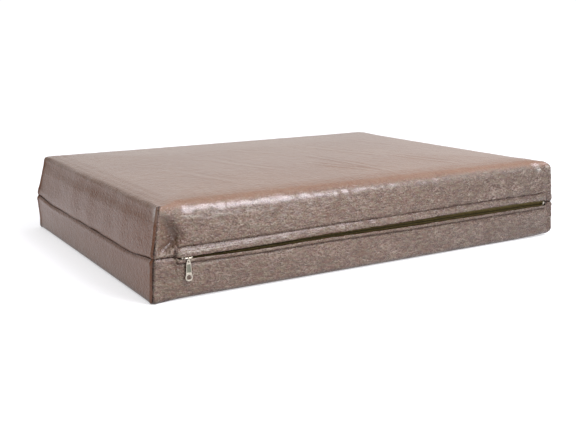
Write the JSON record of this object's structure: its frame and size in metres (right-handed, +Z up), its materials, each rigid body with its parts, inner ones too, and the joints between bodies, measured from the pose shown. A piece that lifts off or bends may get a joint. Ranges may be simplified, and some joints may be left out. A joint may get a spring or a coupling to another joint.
{
  "type": "pet cushion bed",
  "caption": "Flat rectangular pet bed: a foam block in a brown vinyl cover of two seamed shells, with a lapped zip, slider and pull along one long side.",
  "frame": {"origin": "centre of the base's flat underside, on the floor", "axes": "+Z up, +X along the zip from its closed end to its open end, -Y out of the side with the zip"},
  "size_m": [0.6076, 0.4637, 0.103],
  "materials": {
    "vinyl": "satin, grained and crinkled",
    "foam": "matte open-cell foam",
    "zip_tape": "matte woven tape",
    "zip_coil": "satin nylon coil",
    "nickel": "worn nickel plate",
    "thread": "matte sewing thread"
  },
  "bodies": {
    "bed": {"foam_core": "foam", "cover_top": "vinyl", "cover_bottom": "vinyl", "zip_tape_upper": "zip_tape", "zip_tape_lower": "zip_tape", "zip_coil_upper": "zip_coil", "zip_coil_lower": "zip_coil", "top_stop_upper": "nickel", "top_stop_lower": "nickel", "bottom_stop": "nickel", "flap_stitching": "thread", "lip_stitching": "thread", "left_end_tack": "thread", "right_end_tack": "thread"},
    "slider": {"slider_body": "nickel"},
    "pull": {"pull_tab": "nickel"}
  },
  "joints": [
    {"name": "zip_slide", "type": "slide", "parent": "bed", "child": "slider", "axis": [1, 0, 0], "range_m": [0, 0.5428]},
    {"name": "pull_hinge", "type": "hinge", "parent": "slider", "child": "pull", "pos_m": [-0.265, -0.2332, 0.0483], "axis": [-1, 0, 0], "range_deg": [0, 160]}
  ]
}
